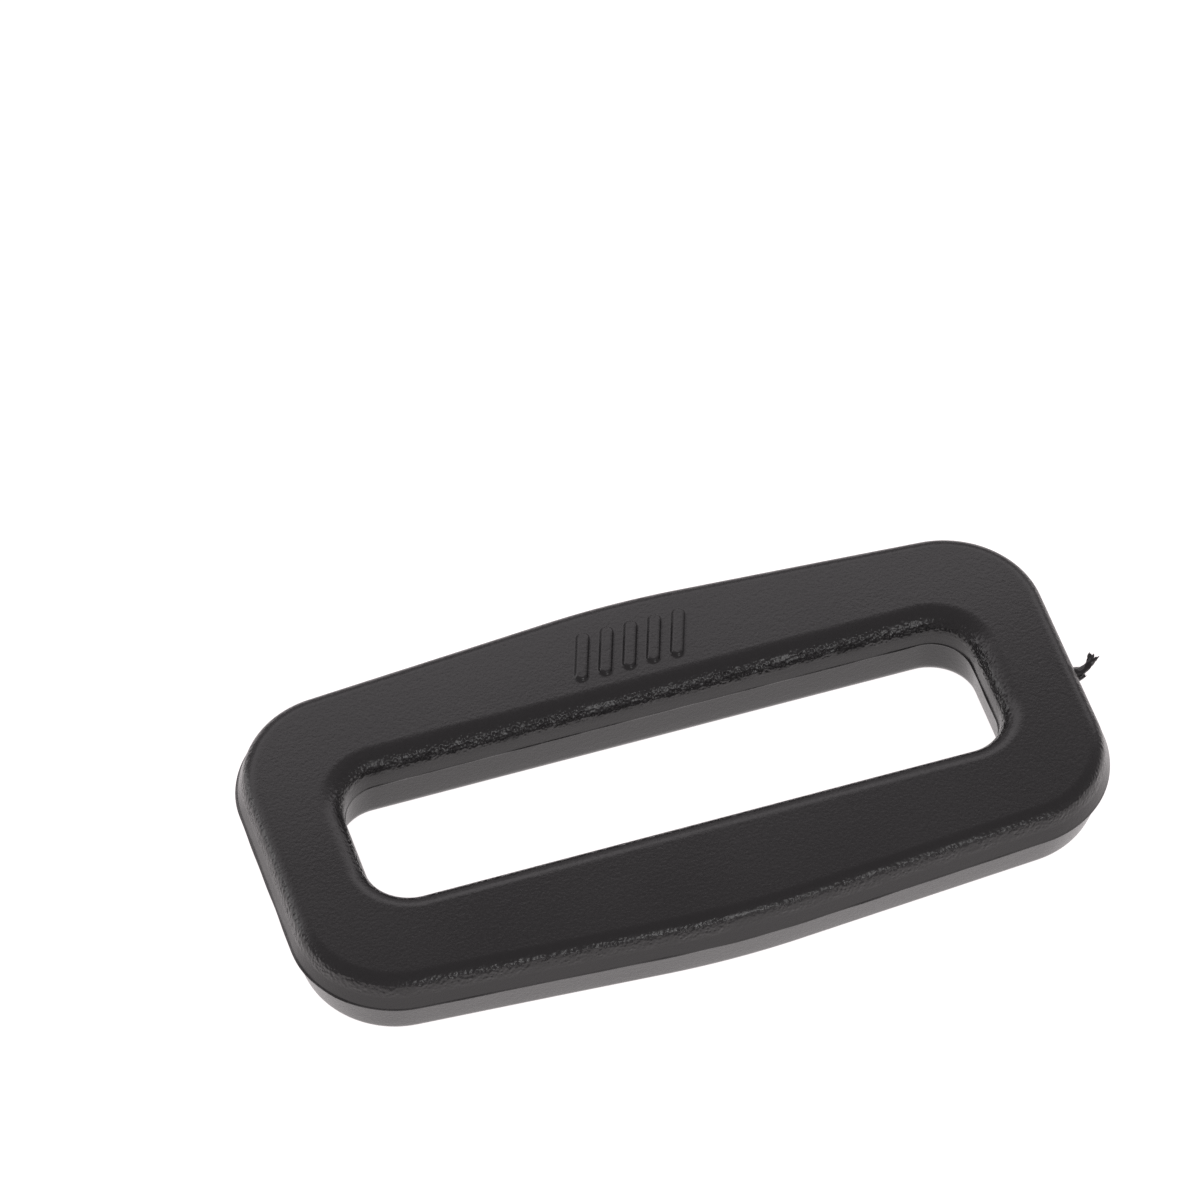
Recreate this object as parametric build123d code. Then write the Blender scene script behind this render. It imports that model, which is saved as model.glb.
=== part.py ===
from build123d import *
import math
import os

# One-piece moulded strap loop for 30 mm webbing. All lengths are millimetres.
# Origin: the centre of the slot, halfway up the thickness. +X runs along the slot,
# +Y points across it to the bar that carries the raised grip ribs, and +Z points up
# out of the ribbed face.

# Slot for the webbing
SLOT_LENGTH = 30.0
SLOT_WIDTH = 7.1
SLOT_CORNER_R = 1.95

# Outline of the loop: a long hexagon whose long sides rise to a soft crest
LOOP_LENGTH = 38.65
WIDTH_AT_CREST = 19.7
WIDTH_AT_ENDS = 16.9
CORNER_R = 4.9
CREST_R = 45.0
OUTLINE_Y = -0.1  # the ribbed bar is slightly the narrower of the two

# Thickness, split by the parting line of the mould into a shallow upper half and
# a deeper lower half
UPPER_HEIGHT = 1.6
LOWER_HEIGHT = 2.6
PARTING_Z = (LOWER_HEIGHT - UPPER_HEIGHT) / 2
TOP_Z = PARTING_Z + UPPER_HEIGHT
PARTING_STEP = 0.04  # the lower half sits this far inside the upper half

# Draft of the walls, the same above and below the parting line
OUTER_DRAFT_DEG = 15.0
SLOT_DRAFT_DEG = 5.0

# Edge roundings round the ribbed face and round the underside
UPPER_OUTER_R = 0.7
UPPER_SLOT_R = 1.1
LOWER_OUTER_R = 1.0
LOWER_SLOT_R = 0.95

# Raised grip ribs on the top face of the +Y bar
RIB_COUNT = 5
RIB_PITCH = 1.15
RIB_WIDTH = 0.55
RIB_LENGTH = 2.7
RIB_SLANT_DEG = 20.0
RIB_HEIGHT = 0.18
RIB_SINK = 0.3
RIB_CENTRE_X = 0.1
RIB_CENTRE_Y = 6.5

# Gate vestige: the torn stub of the runner on the +X end, in the parting plane
GATE_REACH = 1.2
GATE_ROOT_WIDTH = 0.8
GATE_TIP_WIDTH = 0.5
GATE_CURL = 0.45  # the stub curls this far towards +Y
GATE_THICKNESS = 0.35
GATE_SINK = 0.6


def outline(inset):
    """Outer outline in the parting plane, with its corners and crests rounded."""
    half_length = LOOP_LENGTH / 2 - inset
    half_ends = WIDTH_AT_ENDS / 2 - inset
    half_crest = WIDTH_AT_CREST / 2 - inset
    points = [
        (-half_length, -half_ends),
        (0, -half_crest),
        (half_length, -half_ends),
        (half_length, half_ends),
        (0, half_crest),
        (-half_length, half_ends),
    ]
    face = make_face(Polyline(*points, close=True))
    crests = face.vertices().sort_by(lambda v: abs(v.X))[:2]
    face = fillet(crests, CREST_R)
    corners = face.vertices().filter_by(lambda v: abs(v.X) > half_length - 0.01)
    return Pos(0, OUTLINE_Y) * fillet(corners, CORNER_R - inset)


def slot_mouth(growth):
    """Outline of the slot, grown outward by the given amount."""
    length = SLOT_LENGTH + 2 * growth
    width = SLOT_WIDTH + 2 * growth
    return RectangleRounded(length, width, SLOT_CORNER_R + growth)


def drafted_ring(height, step):
    """The plain ring from the parting plane up, with its walls drafted but sharp."""
    outer_lean = step + height * math.tan(math.radians(OUTER_DRAFT_DEG))
    slot_lean = step + height * math.tan(math.radians(SLOT_DRAFT_DEG))
    face_at = Pos(0, 0, height)
    plate = loft([outline(step), face_at * outline(outer_lean)], ruled=True)
    core = loft([slot_mouth(step), face_at * slot_mouth(slot_lean)], ruled=True)
    return plate - core


def soften(half, outer_r, slot_r):
    """Round the outer edge and the slot edge of the half's far face."""
    face = half.faces().sort_by(Axis.Z)[-1]
    half = fillet(face.outer_wire().edges(), outer_r)
    face = half.faces().sort_by(Axis.Z)[-1]
    return fillet(face.inner_wires()[0].edges(), slot_r)


def grip_rib(index):
    """One slanted rib with round ends, standing proud of the top face."""
    x = RIB_CENTRE_X + (index - (RIB_COUNT - 1) / 2) * RIB_PITCH
    place = Pos(x, RIB_CENTRE_Y, TOP_Z - RIB_SINK)
    pad = SlotOverall(RIB_LENGTH, RIB_WIDTH, rotation=90 - RIB_SLANT_DEG)
    return place * extrude(pad, amount=RIB_SINK + RIB_HEIGHT)


def gate_stub():
    """The torn stub of the gate, tapering and curling towards +Y."""
    end_x = LOOP_LENGTH / 2
    root_low = (end_x - GATE_SINK, -GATE_ROOT_WIDTH / 2)
    root_high = (end_x - GATE_SINK, GATE_ROOT_WIDTH / 2)
    tip_low = (end_x + GATE_REACH, GATE_CURL - GATE_TIP_WIDTH / 2)
    tip_high = (end_x + 0.9 * GATE_REACH, GATE_CURL + GATE_TIP_WIDTH / 2)
    belly = (end_x + 0.5 * GATE_REACH, -0.1 * GATE_ROOT_WIDTH)
    throat = (end_x + 0.4 * GATE_REACH, 0.5 * GATE_ROOT_WIDTH)
    rim = Curve() + [
        ThreePointArc(root_low, belly, tip_low),
        Line(tip_low, tip_high),
        ThreePointArc(tip_high, throat, root_high),
        Line(root_high, root_low),
    ]
    return extrude(make_face(rim), amount=GATE_THICKNESS / 2, both=True)


def strap_loop():
    """The whole moulding as one solid."""
    at_parting = Pos(0, 0, PARTING_Z)
    upper = soften(drafted_ring(UPPER_HEIGHT, 0), UPPER_OUTER_R, UPPER_SLOT_R)
    lower = soften(drafted_ring(LOWER_HEIGHT, PARTING_STEP), LOWER_OUTER_R, LOWER_SLOT_R)
    loop = at_parting * upper + at_parting * mirror(lower, about=Plane.XY)
    for index in range(RIB_COUNT):
        loop += grip_rib(index)
    return loop + at_parting * gate_stub()


os.makedirs("parts", exist_ok=True)
part = strap_loop()
part.label = "strap_loop"
export_step(part, "parts/strap_loop.step")
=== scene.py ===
import math

import bpy
import numpy as np
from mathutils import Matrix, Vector


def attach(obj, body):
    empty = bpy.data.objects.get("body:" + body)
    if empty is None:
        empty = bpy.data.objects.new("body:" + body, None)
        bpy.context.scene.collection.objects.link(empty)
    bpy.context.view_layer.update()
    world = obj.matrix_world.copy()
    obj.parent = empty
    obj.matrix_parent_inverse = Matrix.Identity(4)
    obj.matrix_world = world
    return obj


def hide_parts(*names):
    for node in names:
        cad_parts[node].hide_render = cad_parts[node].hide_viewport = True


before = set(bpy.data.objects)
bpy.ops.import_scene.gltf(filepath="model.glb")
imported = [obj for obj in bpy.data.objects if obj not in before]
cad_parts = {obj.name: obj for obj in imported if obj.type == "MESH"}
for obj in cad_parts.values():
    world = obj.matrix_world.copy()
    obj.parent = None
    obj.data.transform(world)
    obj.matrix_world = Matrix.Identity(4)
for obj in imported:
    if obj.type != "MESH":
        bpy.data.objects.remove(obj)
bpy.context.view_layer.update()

MM = 0.001

# ---------------------------------------------------------------- dimensions, millimetres
HALF_LENGTH = 19.325
HALF_ENDS = 8.45
HALF_CREST = 9.85
CORNER_R = 4.9
CREST_R = 45.0
OUTLINE_Y = -0.1  # the ribbed bar is slightly the narrower of the two
SIDE_SLOPE = math.atan((HALF_CREST - HALF_ENDS) / HALF_LENGTH)
CREST_CENTRE_Y = HALF_CREST - CREST_R / math.cos(SIDE_SLOPE)
HALF_SLOT = 15.0
HALF_GAP = 3.55
SLOT_R = 1.95

TOP_Z = 2.1
BOTTOM_Z = -2.1
PARTING_Z = 0.5
OUTER_DRAFT = math.radians(15)
SLOT_DRAFT = math.radians(5)
TOP_EDGE = 0.7
TOP_SLOT_EDGE = 1.1
BOTTOM_EDGE = 1.0
BOTTOM_SLOT_EDGE = 0.95
PARTING_STEP = 0.04
FLASH = 0.03
FLASH_HALF_HEIGHT = 0.015
MISMATCH = 0.02  # each mould half stands this far out of line along X, in opposite ways
UNEVENNESS = 0.006  # height of the slow waves on the two faces

RIB_COUNT = 5
RIB_PITCH = 1.15
RIB_WIDTH = 0.55
RIB_LENGTH = 2.7
RIB_SLANT = math.radians(20)
RIB_HEIGHT = 0.18
RIB_FLANK = 0.11
RIB_CENTRE = (0.1, 6.5)

# Rows of the mesh along a wall: close to the parting line, as shares of the half's
# height, and then over what is left of the wall
ROWS_NEAR_PARTING = (0.035, 0.05, 0.075)
ROWS_UP_THE_WALL = (0.12, 0.3, 0.6)

# Fineness of the mesh elsewhere
END_COLUMNS = 24
CORNER_COLUMNS = 26
TOP_ROWS = 76
BOTTOM_ROWS = 10


# ---------------------------------------------------------------- the moulded loop
def ripple(x, y, z, seed):
    """A smooth, repeatable unevenness of size about 1, from a few crossed waves."""
    rng = np.random.default_rng(seed)
    total = np.zeros(np.broadcast(x, y, z).shape)
    for _ in range(9):
        wave = rng.normal(size=3)
        wave *= rng.uniform(0.25, 1.1) / np.linalg.norm(wave)
        total += np.sin(wave[0] * x + wave[1] * y + wave[2] * z + rng.uniform(0, 6.3))
    return total / 3.0


def long_side_stations(dense):
    """Shares of the long side, from its corner at 1 to its crest at 0."""
    reach = HALF_LENGTH - CORNER_R
    edge = 3.4 / reach
    outer = np.linspace(1, edge, 38, endpoint=False)
    inner = np.linspace(edge, 0, 66 if dense else 11, endpoint=False)
    return np.concatenate([outer, inner])


def quarter(dense):
    """Plan of the first quarter, from the middle of the end to the crest.

    Gives outer points, outer normals, slot points and slot directions."""
    turn = math.pi / 2 - SIDE_SLOPE
    run = CORNER_R * math.tan(turn / 2)
    centre = (HALF_LENGTH - CORNER_R, HALF_ENDS - run)
    slot_centre = (HALF_SLOT - SLOT_R, HALF_GAP - SLOT_R)
    rows = []
    for s in np.linspace(0, 1, END_COLUMNS, endpoint=False):
        rows.append((HALF_LENGTH, s * centre[1], 1, 0, HALF_SLOT, s * slot_centre[1], 1, 0))
    for s in np.linspace(0, 1, CORNER_COLUMNS, endpoint=False):
        a = s * turn
        b = s * math.pi / 2
        rows.append((centre[0] + CORNER_R * math.cos(a), centre[1] + CORNER_R * math.sin(a),
                     math.cos(a), math.sin(a),
                     slot_centre[0] + SLOT_R * math.cos(b), slot_centre[1] + SLOT_R * math.sin(b),
                     math.cos(b), math.sin(b)))
    reach = centre[0] + CORNER_R * math.cos(turn)
    crest_run = CREST_R * math.sin(SIDE_SLOPE)
    for s in long_side_stations(dense):
        x = s * reach
        if x > crest_run:
            y = HALF_CREST - x * math.tan(SIDE_SLOPE)
            normal = (math.sin(SIDE_SLOPE), math.cos(SIDE_SLOPE))
        else:
            y = CREST_CENTRE_Y + math.sqrt(CREST_R ** 2 - x ** 2)
            normal = (x / CREST_R, math.sqrt(1 - (x / CREST_R) ** 2))
        rows.append((x, y, *normal, s * slot_centre[0], HALF_GAP, 0, 1))
    return np.array(rows)


def plan():
    """All the way round, anticlockwise from the middle of the +X end."""
    flip_x = np.array([-1, 1, -1, 1, -1, 1, -1, 1])
    flip_y = np.array([1, -1, 1, -1, 1, -1, 1, -1])
    crest = np.array([[0, CREST_CENTRE_Y + CREST_R, 0, 1, 0, HALF_GAP, 0, 1]])
    dense = quarter(True)
    plain = quarter(False)
    left_end = dense[:1] * flip_x
    back = np.vstack([dense, crest, (dense * flip_x)[::-1]])[:-1]
    front = np.vstack([plain * flip_x * flip_y, crest * flip_y, (plain * flip_y)[::-1]])[:-1]
    ring = np.vstack([back, left_end, front[1:]])
    ring[:, 1] += OUTLINE_Y
    return ring


def flank(height, draft, radius, step, steps):
    """Points up one drafted, rounded wall: inset, and distance from the parting line."""
    far = (height - radius) * math.tan(draft) + radius / math.cos(draft)
    start = height - radius * (1 - math.sin(draft))
    levels = [share * height for share in ROWS_NEAR_PARTING]
    near = levels[-1]
    levels += [near + share * (start - near) for share in ROWS_UP_THE_WALL]
    points = [(step + away * math.tan(draft), away) for away in levels]
    for angle in np.linspace(draft, math.pi / 2, steps + 1):
        points.append((step + far - radius * math.cos(angle),
                       height - radius * (1 - math.sin(angle))))
    return points


def section():
    """Rows round the bar's section: outer share, outer inset, slot inset, height, zone."""
    upper = TOP_Z - PARTING_Z
    lower = PARTING_Z - BOTTOM_Z
    outer_up = flank(upper, OUTER_DRAFT, TOP_EDGE, 0, 10)
    slot_up = flank(upper, SLOT_DRAFT, TOP_SLOT_EDGE, 0, 11)
    outer_down = flank(lower, OUTER_DRAFT, BOTTOM_EDGE, PARTING_STEP, 12)
    slot_down = flank(lower, SLOT_DRAFT, BOTTOM_SLOT_EDGE, PARTING_STEP, 11)
    rows = [(1, 0, 0, PARTING_Z + FLASH_HALF_HEIGHT, "flash")]
    rows += [(1, inset, 0, PARTING_Z + away, "upper") for inset, away in outer_up]
    for share in np.linspace(1, 0, TOP_ROWS)[1:-1]:
        rows.append((share, outer_up[-1][0], slot_up[-1][0], TOP_Z, "top"))
    rows += [(0, 0, inset, PARTING_Z + away, "upper") for inset, away in slot_up[::-1]]
    rows.append((0, 0, 0, PARTING_Z + FLASH_HALF_HEIGHT, "flash"))
    rows.append((0, 0, 0, PARTING_Z - FLASH_HALF_HEIGHT, "flash"))
    rows += [(0, 0, inset, PARTING_Z - away, "lower") for inset, away in slot_down]
    for share in np.linspace(0, 1, BOTTOM_ROWS)[1:-1]:
        rows.append((share, outer_down[-1][0], slot_down[-1][0], BOTTOM_Z, "bottom"))
    rows += [(1, inset, 0, PARTING_Z - away, "lower") for inset, away in outer_down[::-1]]
    rows.append((1, 0, 0, PARTING_Z - FLASH_HALF_HEIGHT, "flash"))
    return rows


def rib_relief(x, y):
    """Height of the grip ribs over the top face: slanted pads with soft, drafted sides."""
    relief = np.zeros(x.shape)
    half = (RIB_LENGTH - RIB_WIDTH) / 2
    slant = (math.sin(RIB_SLANT), math.cos(RIB_SLANT))
    for k in range(RIB_COUNT):
        dx = x - RIB_CENTRE[0] - (k - (RIB_COUNT - 1) / 2) * RIB_PITCH
        dy = y - RIB_CENTRE[1]
        s = np.clip(dx * slant[0] + dy * slant[1], -half, half)
        gap = np.hypot(dx - s * slant[0], dy - s * slant[1]) - RIB_WIDTH / 2
        t = np.clip(0.5 - gap / RIB_FLANK, 0, 1)
        relief = np.maximum(relief, t * t * (3 - 2 * t))
    return relief * RIB_HEIGHT


def mould_shift(zone):
    """How far along X the mould half that formed this zone stands out of line."""
    if zone in ("upper", "top"):
        return MISMATCH
    if zone in ("lower", "bottom"):
        return -MISMATCH
    return 0


def flash_reach(edge, facing, seed):
    """How far the thin flash at the parting line stands out, all the way round."""
    ragged = 0.6 + 0.5 * ripple(edge[:, 0] * 3, edge[:, 1] * 3, 0, seed)
    return (FLASH * ragged + MISMATCH * np.abs(facing))[:, None]


def loop_mesh():
    """The whole moulding: the bar's section carried round the plan, with its ribs."""
    columns = plan()
    rows = section()
    n, m = len(columns), len(rows)
    outer, outer_n = columns[:, 0:2], columns[:, 2:4]
    inner, inner_n = columns[:, 4:6], columns[:, 6:8]
    points = np.zeros((n, m, 3))
    for j, (share, inset, slot_inset, z, zone) in enumerate(rows):
        flash = 0
        if zone == "flash" and share:
            flash = flash_reach(outer, outer_n[:, 0], 5)
        elif zone == "flash":
            flash = flash_reach(inner, inner_n[:, 0], 6)
        a = outer - outer_n * (inset - flash)
        b = inner + inner_n * (slot_inset - flash)
        points[:, j, :2] = share * a + (1 - share) * b
        points[:, j, 0] += mould_shift(zone)
        points[:, j, 2] = z
    x, y, z = points[..., 0], points[..., 1], points[..., 2]
    top = np.array([row[4] == "top" for row in rows])[None, :]
    z += UNEVENNESS * ripple(x, y, z, 3) * np.clip((np.abs(z) - 0.8) / 0.8, 0, 1)
    np.maximum(z, BOTTOM_Z, out=z)
    z += np.where(top, rib_relief(x, y), 0)
    quads = []
    for i in range(n):
        k = (i + 1) % n
        for j in range(m):
            l = (j + 1) % m
            quads.append((i * m + j, k * m + j, k * m + l, i * m + l))
    mesh = bpy.data.meshes.new("strap_loop_body")
    mesh.from_pydata((points.reshape(-1, 3) * MM).tolist(), [], quads)
    mesh.shade_smooth()
    mesh.update()
    return mesh


def add_piece(name, mesh, material):
    piece = bpy.data.objects.new(name, mesh)
    bpy.context.scene.collection.objects.link(piece)
    mesh.materials.clear()
    mesh.materials.append(material)
    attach(piece, "root")
    return piece


# ---------------------------------------------------------------- torn gate stub
def along(values, t):
    """A smooth value at place t of a list, passing through each entry."""
    k = min(int(t), len(values) - 2)
    f = t - k
    a, b = values[k], values[k + 1]
    into = (b - values[max(k - 1, 0)]) * 0.5
    out_of = (values[min(k + 2, len(values) - 1)] - a) * 0.5
    return (a * (2 * f ** 3 - 3 * f ** 2 + 1) + into * (f ** 3 - 2 * f ** 2 + f)
            + b * (3 * f ** 2 - 2 * f ** 3) + out_of * (f ** 3 - f ** 2))


# Inner rings of a strand's torn end: share of the rim's width, depth as a share of the fray
TORN_RINGS = ((0.66, 0.4), (0.33, 0.9))
STRAND_SIDES = 28
RINGS_PER_SPAN = 7


def torn_strand(name, spine, half_width, half_thick, fray, twist):
    """A string of plastic pulled off the moulding: it necks, curls and ends in a torn rim."""
    spine = [Vector(p) for p in spine]
    sides = STRAND_SIDES
    last = len(spine) - 1.0
    stations = np.linspace(0, last, int(last) * RINGS_PER_SPAN + 1)
    verts, faces = [], []
    for t in stations:
        p = along(spine, t)
        ahead = (along(spine, min(t + 0.05, last)) - along(spine, max(t - 0.05, 0))).normalized()
        side = ahead.cross(Vector((0, 0, 1))).normalized()
        up = side.cross(ahead)
        w, h = along(half_width, t), along(half_thick, t)
        end = max(0.0, t - last + 1.0) ** 2
        for q in range(sides):
            a = 2 * math.pi * q / sides
            rough = 1 + 0.1 * math.sin(3 * a + 2.1 * t + twist) + 0.07 * math.sin(7 * a - 3.3 * t)
            prong = fray * (math.sin(3 * a + twist) + 0.6 * math.sin(7 * a + 1.0))
            verts.append(p + side * (w * rough * math.cos(a)) + up * (h * rough * math.sin(a))
                         + ahead * (end * prong))
    rings = len(stations)
    tip = along(spine, last)
    ahead = (tip - along(spine, last - 0.3)).normalized()
    rim = verts[-sides:]
    for share, depth in TORN_RINGS:
        verts += [tip + (edge - tip) * share - ahead * (fray * depth) for edge in rim]
        rings += 1
    for k in range(rings - 1):
        for q in range(sides):
            r = (q + 1) % sides
            faces.append((k * sides + q, k * sides + r, (k + 1) * sides + r, (k + 1) * sides + q))
    verts += [tip - ahead * fray, spine[0]]
    for q in range(sides):
        r = (q + 1) % sides
        faces.append(((rings - 1) * sides + q, (rings - 1) * sides + r, len(verts) - 2))
        faces.append((r, q, len(verts) - 1))
    mesh = bpy.data.meshes.new(name)
    mesh.from_pydata([tuple(v * MM) for v in verts], [], faces)
    mesh.shade_smooth()
    return mesh


def gate_strands():
    stub = torn_strand(
        "gate_stub",
        ((18.9, -0.2, 0.5), (19.3, -0.2, 0.5), (19.6, -0.2, 0.52), (19.88, -0.12, 0.56),
         (20.1, 0.02, 0.63), (20.26, 0.14, 0.7), (20.38, 0.26, 0.76)),
        (0.42, 0.36, 0.24, 0.17, 0.17, 0.21, 0.25), (0.26, 0.24, 0.19, 0.14, 0.13, 0.12, 0.1),
        0.12, 0.6)
    burr = torn_strand(
        "gate_burr", ((19.0, -0.52, 0.48), (19.35, -0.54, 0.48), (19.6, -0.52, 0.5), (19.74, -0.48, 0.53)),
        (0.16, 0.13, 0.09, 0.06), (0.14, 0.11, 0.08, 0.05), 0.04, 2.0)
    return stub, burr


# ---------------------------------------------------------------- material
CHARCOAL = (0.0150, 0.0142, 0.0148, 1)
WHITE = (1, 1, 1, 1)

# Scales of the texture, in cells per metre
GRAIN_SCALE = 5200.0
FINE_SCALE = 7600.0
PEBBLE_SCALE = 6500.0
SWELL_SCALE = 900.0
CLOUD_SCALE = 130.0

# Depths of the grain, in metres
GRAIN_DEPTH = 0.000026
PEBBLE_DEPTH = 0.00006

# Heights over which the coarser pebbles of the upper edges come in and go out
PEBBLES_RISE = (1.15 * MM, 1.4 * MM)
PEBBLES_FADE = (2.05 * MM, 1.8 * MM)


class Nodes:
    """Short hands for building a node tree."""

    def __init__(self, material):
        material.use_nodes = True
        self.tree = material.node_tree
        self.tree.nodes.clear()

    def add(self, kind, inputs=None, **settings):
        node = self.tree.nodes.new(kind)
        for key, value in settings.items():
            setattr(node, key, value)
        for key, value in (inputs or {}).items():
            if isinstance(value, bpy.types.NodeSocket):
                self.tree.links.new(value, node.inputs[key])
            else:
                node.inputs[key].default_value = value
        return node

    def math(self, operation, a, b):
        return self.add("ShaderNodeMath", {0: a, 1: b}, operation=operation).outputs[0]

    def cells(self, place, scale):
        inputs = {"Vector": place, "Scale": scale, "Randomness": 1.0}
        return self.add("ShaderNodeTexVoronoi", inputs, feature="SMOOTH_F1").outputs["Distance"]

    def noise(self, place, scale, detail, roughness=0.5):
        inputs = {"Vector": place, "Scale": scale, "Detail": detail, "Roughness": roughness}
        return self.add("ShaderNodeTexNoise", inputs).outputs["Fac"]

    def ramp(self, value, low, high, out_low=0.0, out_high=1.0):
        return self.add("ShaderNodeMapRange", {
            "Value": value, "From Min": low, "From Max": high,
            "To Min": out_low, "To Max": out_high}).outputs[0]


def charcoal_plastic():
    """Charcoal plastic out of a spark-eroded mould: pebbled grain, soft uneven sheen."""
    material = bpy.data.materials.new("charcoal_plastic")
    n = Nodes(material)
    place = n.add("ShaderNodeTexCoord").outputs["Object"]
    fine = n.noise(place, FINE_SCALE, 2.0, 0.6)
    swell = n.noise(place, SWELL_SCALE, 2.0)
    cloud = n.noise(place, CLOUD_SCALE, 3.0)

    height = n.math("ADD", n.math("MULTIPLY", n.cells(place, GRAIN_SCALE), 0.5), fine)
    height = n.math("ADD", height, n.math("MULTIPLY", swell, 0.3))
    even = n.add("ShaderNodeBump", {"Strength": 0.35, "Distance": GRAIN_DEPTH, "Height": height})

    level = n.add("ShaderNodeSeparateXYZ", {0: place}).outputs[2]
    edge = n.math("MULTIPLY", n.ramp(level, *PEBBLES_RISE), n.ramp(level, *PEBBLES_FADE))
    edge = n.math("MULTIPLY", edge, n.ramp(swell, 0.35, 0.6, 0.4, 1.0))
    pebble = n.math("MULTIPLY", n.cells(place, PEBBLE_SCALE), edge)
    bump = n.add("ShaderNodeBump", {"Strength": 1.0, "Distance": PEBBLE_DEPTH, "Height": pebble,
                                    "Normal": even.outputs["Normal"]})

    rough = n.ramp(cloud, 0.3, 0.7, 0.24, 0.30)
    rough = n.math("ADD", rough, n.ramp(fine, 0.3, 0.7, -0.04, 0.04))
    shade = n.ramp(cloud, 0.3, 0.7, 0.92, 1.08)
    shade = n.math("MULTIPLY", shade, n.ramp(fine, 0.3, 0.7, 0.9, 1.1))
    grey = n.add("ShaderNodeCombineColor", {0: shade, 1: shade, 2: shade}).outputs[0]
    colour = n.add("ShaderNodeMix", {0: 1.0, 6: CHARCOAL, 7: WHITE},
                   data_type="RGBA", blend_type="MULTIPLY")
    n.tree.links.new(grey, colour.inputs[7])
    shader = n.add("ShaderNodeBsdfPrincipled", {
        "Base Color": colour.outputs[2], "Roughness": rough, "IOR": 1.5,
        "Normal": bump.outputs["Normal"]})
    out = n.add("ShaderNodeOutputMaterial", {"Surface": shader.outputs[0]})
    out.is_active_output = True
    return material


def floor_material():
    """A white table top, bright enough to stay white all the way to the loop."""
    material = bpy.data.materials.new("white_table")
    n = Nodes(material)
    shader = n.add("ShaderNodeBsdfPrincipled", {
        "Base Color": (0.3, 0.27, 0.27, 1), "Roughness": 0.7,
        "Emission Color": (1.0, 0.96, 0.965, 1), "Emission Strength": 1.02})
    n.add("ShaderNodeOutputMaterial", {"Surface": shader.outputs[0]})
    return material


# ---------------------------------------------------------------- stage, light, camera
FLOOR_GAP = 0.01  # the table lies this far under the loop, so that nothing pokes through it
FLOOR_REACH = 1.2  # metres
STUDIO_GREY = (0.43, 0.402, 0.415, 1)
WARM_WHITE = (1.0, 0.955, 0.98)
LENS_MM = 270.0
SENSOR_MM = 36.0


def add_floor(z):
    mesh = bpy.data.meshes.new("table")
    r = FLOOR_REACH
    mesh.from_pydata([(-r, -r, z), (r, -r, z), (r, r, z), (-r, r, z)], [], [(0, 1, 2, 3)])
    mesh.materials.append(floor_material())
    table = bpy.data.objects.new("table", mesh)
    bpy.context.scene.collection.objects.link(table)


def bearing(azimuth, elevation):
    """Unit vector from the loop outward. Azimuth 0 is in front of it, 90 right, 180 behind."""
    a, e = math.radians(azimuth), math.radians(elevation)
    return Vector((math.sin(a) * math.cos(e), -math.cos(a) * math.cos(e), math.sin(e)))


def add_softbox(name, azimuth, elevation, distance, size, power, colour=(1, 1, 1)):
    """A rectangular area light that faces the loop."""
    towards = bearing(azimuth, elevation)
    data = bpy.data.lights.new(name, "AREA")
    data.shape = "RECTANGLE"
    data.size, data.size_y = size
    data.energy = power
    data.color = colour
    lamp = bpy.data.objects.new(name, data)
    lamp.location = towards * distance
    lamp.rotation_mode = "QUATERNION"
    lamp.rotation_quaternion = (-towards).to_track_quat("-Z", "Y")
    bpy.context.scene.collection.objects.link(lamp)


def add_world():
    world = bpy.data.worlds.new("studio")
    world.use_nodes = True
    background = world.node_tree.nodes["Background"]
    background.inputs[0].default_value = STUDIO_GREY
    background.inputs[1].default_value = 1.0
    bpy.context.scene.world = world


def add_camera(azimuth, elevation, distance, target):
    """A camera at the given bearing and distance from a point that it looks at."""
    back = bearing(azimuth, elevation)
    data = bpy.data.cameras.new("camera")
    data.sensor_width = SENSOR_MM
    data.lens = LENS_MM
    data.clip_start, data.clip_end = 0.01, 10.0
    camera = bpy.data.objects.new("camera", data)
    camera.location = Vector(target) + back * distance
    camera.rotation_mode = "QUATERNION"
    camera.rotation_quaternion = (-back).to_track_quat("-Z", "Y")
    bpy.context.scene.collection.objects.link(camera)
    bpy.context.scene.camera = camera


plastic = charcoal_plastic()
body = add_piece("loop_moulding", loop_mesh(), plastic)
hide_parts("strap_loop")
for strand in gate_strands():
    add_piece(strand.name, strand, plastic)

add_floor((BOTTOM_Z - FLOOR_GAP) * MM)
add_world()
add_softbox("back_softbox", 180, 41.7, 0.05, (0.16, 0.02), 0.0108, WARM_WHITE)
add_softbox("left_strip", 232, 10, 0.25, (0.1, 0.08), 0.05)
add_softbox("front_lamp", 14, 31, 0.3, (0.07, 0.07), 0.085)
bpy.context.scene.view_settings.view_transform = "Standard"
add_camera(-18.158, 51.568, 0.41801, (0.659 * MM, 12.599 * MM, BOTTOM_Z * MM))
